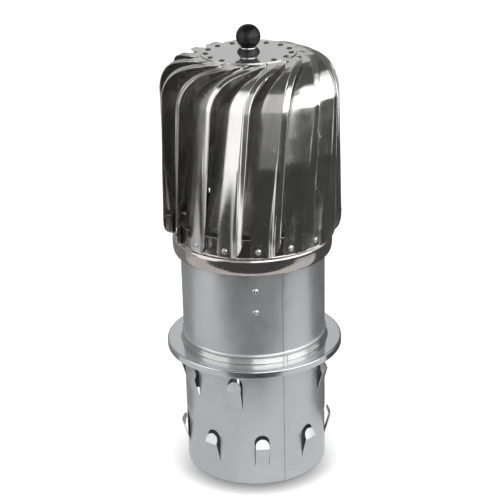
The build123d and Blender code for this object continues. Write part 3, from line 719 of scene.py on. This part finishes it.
def hand_set(verts, rng):
    """Moves the points as on a real vane, whose free edge waves and stands a little further in."""
    length = WAVE_LENGTH + WAVE_LENGTH_SPREAD * rng.random()
    wobble = WAVE * np.sin(verts[:, 2] / length + WHOLE_TURN * rng.random())
    reach = np.hypot(verts[:, 0], verts[:, 1])
    outer = np.clip((reach - FREE_RADIUS) / FREE_WIDTH, 0, 1)
    free = outer * np.clip((verts[:, 2] - FREE_FOOT) / FREE_RISE, 0, 1)
    inset = (np.abs(wobble) + LEAN_SPREAD * rng.random()) * free + EDGE_INSET * outer
    verts[:, :2] *= (1 - inset / np.maximum(reach, 1))[:, None]


rng = np.random.default_rng(7)
for k in range(VANES):
    name = "vane_%02d" % (k + 1)
    grid, start, stop = vane_grid(LOWEST_BOW + BOW_SPREAD * rng.random())
    verts, faces, uvs, inner = sheet_solid(grid, start, stop)
    hem, hem_faces = edge_hem(grid, inner, HEM_FIRST_ROW, stop + HEM_ROWS_PAST_STOP)
    verts, faces = joined([(verts, faces), (hem, hem_faces)])
    uvs = np.concatenate([uvs, np.tile(uvs[-1], (len(hem), 1))])
    hand_set(verts, rng)
    verts = turned_z(verts, FIRST_AZIMUTH + PITCH * k)
    uvs = uvs + rng.random(2)
    piece = mesh_piece(name + "_sheet", verts, faces, "rotor", vane_steel, "polished_stainless", 32.0, uvs)
    second_material(piece, edge_steel, -len(hem_faces))
    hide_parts(name)


# Rotor ring: rounded skirt, step and wall
SKIRT_Z = 250.0
SKIRT_ROLL = 2.6
SKIRT_EDGE_OUTSIDE, SKIRT_DROP_OUTSIDE = 80.2, 9.7
SKIRT_EDGE_INSIDE, SKIRT_DROP_INSIDE = 79.4, 9.5
STEP_OUTSIDE = [
    (82.8, 253.5), (82.75, 255.4), (82.45, 256.7), (81.8, 257.5), (80.9, 257.9), (80.25, 258.4),
    (80.0, 259.2), (80.0, 259.6), (80.0, 268.0), (80.0, 277.5), (79.95, 277.8), (79.8, 278.0)]
STEP_INSIDE = [
    (79.4, 278.0), (79.2, 277.7), (79.2, 268.0), (79.2, 258.9), (79.5, 257.9), (80.3, 257.2),
    (81.3, 256.7), (81.9, 255.6), (82.0, 253.5)]


def skirt_arc(radius, drop, shares):
    """Points of the skirt's rounded lower edge."""
    return [(radius + SKIRT_ROLL * sin(t * pi / 2), SKIRT_Z - drop * cos(t * pi / 2)) for t in shares]


profile = skirt_arc(SKIRT_EDGE_OUTSIDE, SKIRT_DROP_OUTSIDE, np.linspace(0, 1, 17)) + STEP_OUTSIDE
profile += STEP_INSIDE + skirt_arc(SKIRT_EDGE_INSIDE, SKIRT_DROP_INSIDE, np.linspace(1, 0, 13))
piece = turned_piece("rotor_ring_rolled", profile, 300, "rotor", ring_steel, "polished_stainless")
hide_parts("rotor_ring")

# Top disc with a soft pressed edge
HOLE = 4.0
DISC_RADIUS = 47.6
profile = rounded(
    [(HOLE, DISC_UNDER), (DISC_RADIUS, DISC_UNDER), (DISC_RADIUS, DISC_TOP), (HOLE, DISC_TOP)],
    [0.1, 0.15, 0.8, 0.1], 7)
piece = turned_piece("top_disc_pressed", profile, 240, "rotor", disc_steel, "polished_stainless")
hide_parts("top_disc")

# Flange ring: rolled rim, flat top and a neck that is open at the tube's seam
SEAM_AZIMUTH, SLOT_HALF = -65.3, 1.99
FLANGE_SEGMENTS = 300
FLANGE_HOLE, FLANGE_UNDER, FLANGE_TOP = 75.2, 140.1, 141.0
RIM_INSIDE, RIM_OUTSIDE, RIM_BOTTOM = 91.6, 92.46, 133.7
NECK_INSIDE, NECK_OUTSIDE, NECK_FOOT, NECK_TOP = 75.02, 75.6, 78.2, 147.0
GROOVE_BOTTOM, GROOVE_HALF, GROOVES = 75.42, 0.25, (143.55, 145.35)
rim = rounded(
    [(FLANGE_HOLE, FLANGE_UNDER), (RIM_INSIDE, FLANGE_UNDER), (RIM_INSIDE, RIM_BOTTOM),
     (RIM_OUTSIDE, RIM_BOTTOM), (RIM_OUTSIDE, FLANGE_TOP), (FLANGE_HOLE, FLANGE_TOP)],
    [0, 0.8, 0.35, 0.35, 1.7, 0], 8)
outline = [(NECK_INSIDE, FLANGE_TOP - 0.5), (NECK_FOOT, FLANGE_TOP - 0.5), (NECK_FOOT, FLANGE_TOP + 0.02)]
outline += [(NECK_OUTSIDE, FLANGE_TOP + 0.3)]
for z in GROOVES:
    outline += [(NECK_OUTSIDE, z - GROOVE_HALF), (GROOVE_BOTTOM, z), (NECK_OUTSIDE, z + GROOVE_HALF)]
outline += [(NECK_OUTSIDE, NECK_TOP), (NECK_INSIDE, NECK_TOP)]
neck = rounded(outline, [0, 0, 0, 2.2] + [0.1, 0.12, 0.1] * len(GROOVES) + [0.3, 0.1], 6)
verts, faces = joined([
    lathe(rim, FLANGE_SEGMENTS),
    lathe(neck, FLANGE_SEGMENTS, SEAM_AZIMUTH + SLOT_HALF, 360 - 2 * SLOT_HALF)])
piece = mesh_piece("flange_ring_rolled", verts, faces, "base", flange_zinc, "galvanised_sheet")
second_material(piece, neck_zinc, FLANGE_SEGMENTS * len(rim))
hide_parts("flange_ring")

# Blind rivets
TUBE_RADIUS = 75.0
FOOT_RIVET_Z = 265.5
TOP_RIVET_RADIUS = 42.4
BRACKET_AZIMUTH = -88.3
BRACKET_RIVET_HEIGHTS = (198.2, 221.3)
FOOT_EYE_TURN, TOP_EYE_TURN = 137.0, 101.0


def rivet(head, height, stack):
    """Domed head, dark eye with the broken pin, shank through the stack and upset tail."""
    edge = head / 2
    profile = [(0, height - 0.55), (0.5, height - 0.6), (0.9, height - 1.05)]
    profile += [(0.98, height - 1.0), (0.98, height - 0.15), (1.1, height)]
    profile += [(1.25 + (edge - 1.45) * sin(t), height - (height - 0.45) * (1 - cos(t)))
                for t in np.linspace(0, pi / 2, 9)]
    profile += [(edge - 0.05, 0.4), (edge, 0.28), (edge, 0.04), (edge - 0.05, 0.0), (1.6, 0)]
    profile += [(1.6, -stack - 0.1), (2.15, -stack - 0.5), (2.3, -stack - 1.2), (2.1, -stack - 2.0)]
    profile += [(1.5, -stack - 2.45), (0, -stack - 2.5)]
    return lathe(profile, 28)


def lying(verts, radius, azimuth, z):
    """Puts a rivet's axis outward at one azimuth."""
    out = np.column_stack([verts[:, 2] + radius, verts[:, 1], -verts[:, 0] + z])
    return turned_z(out, azimuth)


def rivet_set(name, parts, body, material):
    """One piece from several rivets."""
    return mesh_piece(name, *joined(parts), body, material, "rivet_steel", 50.0)


head, faces = rivet(6.0, 1.5, 1.4)
parts = []
for k in range(VANES):
    placed = lying(turned_z(head, FOOT_EYE_TURN * k), CREASE_X, FIRST_AZIMUTH + PITCH * k, FOOT_RIVET_Z)
    parts.append((placed, faces))
piece = rivet_set("vane_foot_rivets_set", parts, "rotor", rivet_metal)
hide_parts("vane_foot_rivets")

head, faces = rivet(5.6, 0.95, 1.6)
parts = []
for k in range(VANES):
    placed = turned_z(head, TOP_EYE_TURN * k) + [TOP_RIVET_RADIUS, 0, DISC_TOP]
    parts.append((turned_z(placed, FIRST_AZIMUTH + TONGUE_AZIMUTH + PITCH * k), faces))
piece = rivet_set("vane_top_rivets_set", parts, "rotor", dark_rivet_metal)
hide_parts("vane_top_rivets")

head, faces = rivet(6.5, 1.5, 2.8)
parts = [(lying(head, TUBE_RADIUS, BRACKET_AZIMUTH + side, z), faces)
         for side in (0, 180) for z in BRACKET_RIVET_HEIGHTS]
piece = rivet_set("bracket_rivets_set", parts, "base", rivet_metal)
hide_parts("bracket_rivets")

# Ball knob, its washer and the clamp nut
WASHER_UNDER, KNOB_FOOT, KNOB_CENTRE = 449.8, 451.0, 461.1415
KNOB_RADIUS, KNOB_BORE_DEPTH = 12.1, 12.0
WASHER_RADIUS = 8.5
NUT_FOOT_RADIUS, NUT_TOP_RADIUS = 11.2, 9.0
low_angle = np.arccos((KNOB_CENTRE - KNOB_FOOT) / KNOB_RADIUS)
arc = [(KNOB_RADIUS * sin(t), KNOB_CENTRE - KNOB_RADIUS * cos(t))
       for t in np.linspace(low_angle + 0.03, pi, 72)]
profile = [(HOLE, KNOB_FOOT + KNOB_BORE_DEPTH), (HOLE, KNOB_FOOT + 0.4), (4.4, KNOB_FOOT)]
profile += [(KNOB_RADIUS * sin(low_angle) - 0.35, KNOB_FOOT)] + arc[:-1]
profile += [(0, KNOB_CENTRE + KNOB_RADIUS), (0, KNOB_FOOT + KNOB_BORE_DEPTH)]
piece = turned_piece("ball_knob_moulded", profile, 128, "rotor", knob_resin, "black_resin", 30.0)
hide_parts("ball_knob")
profile = rounded(
    [(HOLE, WASHER_UNDER), (WASHER_RADIUS, WASHER_UNDER), (WASHER_RADIUS, KNOB_FOOT), (HOLE, KNOB_FOOT)],
    [0.1, 0.35, 0.35, 0.1], 5)
piece = turned_piece("knob_washer_pressed", profile, 96, "rotor", washer_metal, "plated_steel")
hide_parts("knob_washer")
profile = rounded(
    [(HOLE, DISC_TOP), (NUT_FOOT_RADIUS - 0.2, DISC_TOP), (NUT_FOOT_RADIUS, DISC_TOP + 1.0),
     (NUT_TOP_RADIUS, WASHER_UNDER), (HOLE, WASHER_UNDER)],
    [0.1, 0.3, 1.2, 0.5, 0.1], 7)
piece = turned_piece("clamp_nut_flared", profile, 96, "rotor", dark_metal, "plated_steel")
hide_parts("clamp_nut")

# The CAD nodes that keep their own meshes
kept = {
    "flue_tube": tube_zinc, "bearing_bracket": bracket_zinc, "bearing_housing": turned_alloy,
    "housing_nut": plated_metal, "spindle": plated_metal, "support_washer": plated_metal,
    "lower_bore_circlip": spring_metal, "upper_bore_circlip": spring_metal, "shaft_circlip": spring_metal,
}
for level in ("lower", "upper"):
    kept[level + "_bearing_cage"] = cage_metal
    for part in ("outer_ring", "inner_ring", "balls"):
        kept[level + "_bearing_" + part] = race_metal
for name, material in kept.items():
    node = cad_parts[name]
    node.data.materials.clear()
    node.data.materials.append(material)

# Floor: pale, keeps the object's shadow with a painted contact shadow added, and shows as plain white to the
# camera and in the metal
FLOOR_HALF = 12.0
FLOOR_PALE = (0.80, 0.80, 0.80)
FLOOR_GLOW = 0.52
TUBE_FOOT_RADIUS = 0.0745

# Painted shadow: the floor's colour darkens where the object hides a leaning sky, more in front than behind
SHADOW_REACH = 0.027
SHADOW_LEAN = (0.0, 0.72, 0.69)
SHADOW_POWER = 1.25
SHADOW_FRONT_Y, SHADOW_BACK_Y, SHADOW_BACK_SHARE = -0.05, 0.01, 0.45

scene = bpy.context.scene
mesh = bpy.data.meshes.new("floor")
corners = [(-1, -1), (1, -1), (1, 1), (-1, 1)]
mesh.from_pydata([(FLOOR_HALF * x, FLOOR_HALF * y, 0) for x, y in corners], [], [(0, 1, 2, 3)])
floor = bpy.data.objects.new("floor", mesh)
scene.collection.objects.link(floor)
material, n = new_material("floor_white")
lean = n.add("ShaderNodeCombineXYZ", dict(enumerate(SHADOW_LEAN)))
sky = {"Distance": SHADOW_REACH, "Normal": lean.outputs[0]}
occlusion = n.add("ShaderNodeAmbientOcclusion", sky, samples=16)
place = n.add("ShaderNodeTexCoord").outputs["Object"]
strength = n.spread(n.axes(place)[1], SHADOW_FRONT_Y, SHADOW_BACK_Y, 1.0, SHADOW_BACK_SHARE)
# Painted shadow: this mask darkens the floor's colour and its glow
covered = n.math("SUBTRACT", 1.0, n.math("POWER", occlusion.outputs["AO"], SHADOW_POWER))
painted_shadow = n.math("SUBTRACT", 1.0, n.math("MULTIPLY", covered, strength))
# Painted shade: the floor's glow stops inside the tube's foot, so the floor there is darker
from_axis = n.add("ShaderNodeVectorMath", {0: place}, operation="LENGTH")
outside = n.math("GREATER_THAN", from_axis.outputs["Value"], TUBE_FOOT_RADIUS)
lit = n.add("ShaderNodeBsdfDiffuse", {0: n.mix(painted_shadow, (0, 0, 0), FLOOR_PALE)})
glow_color = n.mix(n.math("MULTIPLY", painted_shadow, outside), (0, 0, 0), (1, 1, 1))
glow = n.add("ShaderNodeEmission", {0: glow_color, 1: FLOOR_GLOW})
both = n.add("ShaderNodeAddShader", {0: lit.outputs[0], 1: glow.outputs[0]})
plain = n.add("ShaderNodeBsdfDiffuse", {0: FLOOR_PALE})
n.finish(n.shader_mix(n.seen(), plain, both))
material.cycles.emission_sampling = "NONE"
mesh.materials.append(material)

# World: plain white to the camera and in the metal, and a softer light on everything else
world = bpy.data.worlds.new("studio")
scene.world = world
world.use_nodes = True
n = Nodes(world.node_tree)
white = n.add("ShaderNodeBackground", {0: (1, 1, 1), 1: 1.0})
soft = n.add("ShaderNodeBackground", {0: (1, 1, 1), 1: 0.50})
n.finish(n.shader_mix(n.seen(), soft, white), "ShaderNodeOutputWorld")

# Studio cards, seen only in the metal; places in metres and in azimuths, with the camera near -90
WALL, NEAR_WALL = 3.0, 2.95
TABLE, TABLE_ABOVE, TABLE_UNDER = 0.004, 0.005, 0.0004
TUBE_EDGE = 0.0757
CARD_STEP = 5.0


def card(name, verts, faces, strength):
    """Glowing sheet that only glossy rays see."""
    mesh = bpy.data.meshes.new(name)
    mesh.from_pydata(verts, [], faces)
    obj = bpy.data.objects.new(name, mesh)
    scene.collection.objects.link(obj)
    material, n = new_material(name)
    n.finish(n.add("ShaderNodeEmission", {0: (1, 1, 1), 1: strength}))
    mesh.materials.append(material)
    material.cycles.emission_sampling = "NONE"
    obj.visible_camera = False
    obj.visible_diffuse = False
    obj.visible_shadow = False
    obj.visible_transmission = False
    obj.visible_volume_scatter = False


def wall_card(name, first, last, top, strength, bottom=0.0, radius=WALL):
    """Upright card that curves about the axis from one azimuth to another."""
    angles = np.radians(np.arange(first, last + 0.1, CARD_STEP))
    verts = [(radius * cos(a), radius * sin(a), z) for a in angles for z in (bottom, top)]
    faces = [(i, i + 2, i + 3, i + 1) for i in range(0, len(verts) - 2, 2)]
    card(name, verts, faces, strength)


def ring_card(name, z, inner, outer, strength):
    """Flat card between two outlines given as azimuth and radius."""
    azimuths = np.arange(outer[0][0], outer[-1][0] + 0.1, CARD_STEP)
    near, far = (np.interp(azimuths, *zip(*outline)) for outline in (inner, outer))
    verts = [(r * cos(a), r * sin(a), z) for a, *ends in zip(np.radians(azimuths), near, far) for r in ends]
    faces = [(i, i + 1, i + 3, i + 2) for i in range(0, len(verts) - 2, 2)]
    card(name, verts, faces, strength)


def table_card(name, first, last, near, far, strength, z=TABLE):
    """Flat card between two azimuths, with its near edge given as one radius or as two."""
    first_near, last_near = near
    ring_card(name, z, [(first, first_near), (last, last_near)], [(first, far), (last, far)], strength)


wall_card("softbox_left", -182, -132, 3.4, 1.48)
wall_card("front_gap", -132, -92, 3.6, 0.58)
wall_card("softbox_right", -92, -2, 3.9, 2.2)
wall_card("front_gap_high", -92, -72, 3.9, 0.50, 2.4, NEAR_WALL)
wall_card("softbox_edge", -2, 28, 3.6, 1.0)
wall_card("flag_back_right", 28, 83, 4.5, 0.14)
wall_card("backdrop", 83, 98, 4.5, 0.63)
wall_card("flag_back_left", 98, 163, 4.5, 0.36)
wall_card("flag_left_edge", 163, 178, 4.5, 0.4)
ring_card("flag_table_front", TABLE,
          [(-155, 0.70), (-140, 0.52), (-118, 0.33), (-95, 0.28), (-75, 0.29), (-55, 0.38), (-38, 0.55),
           (-28, 0.72), (30, 0.72)],
          [(-155, 0.82), (-139, 0.95), (-138, NEAR_WALL), (30, NEAR_WALL)], 0.028)
table_card("bounce_table_left", -169, -138, (0.85, 0.98), NEAR_WALL, 1.40)
table_card("bounce_table_mid", -122, -102, (1.85, 1.85), NEAR_WALL, 0.32, TABLE_ABOVE)
table_card("bounce_table_low", -122, -102, (1.35, 1.35), 1.85, 0.15, TABLE_ABOVE)
table_card("flag_table_left", -195, -169, (0.60, 0.80), NEAR_WALL, 0.40)
table_card("flag_table_back", 30, 80, (0.14, 0.14), NEAR_WALL, 0.06)
table_card("flag_table_back_left", 80, 165, (0.14, 0.14), NEAR_WALL, 0.22)
table_card("flag_table_right", 5, 30, (0.22, 0.15), 0.85, 0.06)
table_card("table_near", -110, 160, (TUBE_EDGE, TUBE_EDGE), 1.0, 0.70, TABLE_UNDER)
table_card("table_near_left", 160, 250, (TUBE_EDGE, TUBE_EDGE), 1.0, 0.62, TABLE_UNDER)
ring_card("flag_near_right", 0.0035, [(-5, 0.20), (30, 0.10), (90, 0.10)],
          [(-5, 0.21), (30, 0.25), (90, 0.25)], 0.10)
# Painted shade: a dark card on the floor inside the tube stands in for the shade there, seen in the metal
table_card("shade_card_inside", -180, 180, (0.0, 0.0), 0.074, 0.02, 0.002)
ring_card("flag_ceiling", 2.2, [(-180, 0.0), (180, 0.0)],
          [(-180, 1.7), (-119, 1.9), (-80, 1.4), (-40, 1.2), (0, 1.3), (40, 1.7), (90, 1.7), (180, 1.7)],
          0.07)

# One very soft light from above and in front
data = bpy.data.lights.new("sky_panel", "SUN")
data.energy = 1.30
data.angle = radians(75)
lamp = bpy.data.objects.new("sky_panel", data)
scene.collection.objects.link(lamp)
lamp.rotation_euler = (radians(20), radians(4), 0)
lamp.visible_glossy = False

# Camera at the photograph's place
EYE = np.array([6.627, -1269.11, 742.14]) * MM
PITCH_DOWN, YAW, ROLL = radians(21.7355), radians(-0.4239), radians(-1.2575)
data = bpy.data.cameras.new("camera")
data.sensor_fit = "HORIZONTAL"
data.sensor_width = 36.0
data.lens = 94.47
data.clip_start = 0.01
data.clip_end = 100.0
camera = bpy.data.objects.new("camera", data)
scene.collection.objects.link(camera)
forward = np.array([sin(YAW) * cos(PITCH_DOWN), cos(YAW) * cos(PITCH_DOWN), -sin(PITCH_DOWN)])
right = np.array([cos(YAW), -sin(YAW), 0.0])
above = np.cross(right, forward)
camera_x = cos(ROLL) * right + sin(ROLL) * above
camera_y = -sin(ROLL) * right + cos(ROLL) * above
turned = np.column_stack([camera_x, camera_y, -forward, EYE])
camera.matrix_world = Matrix([*turned.tolist(), [0, 0, 0, 1]])
scene.camera = camera
scene.view_settings.view_transform = "Standard"
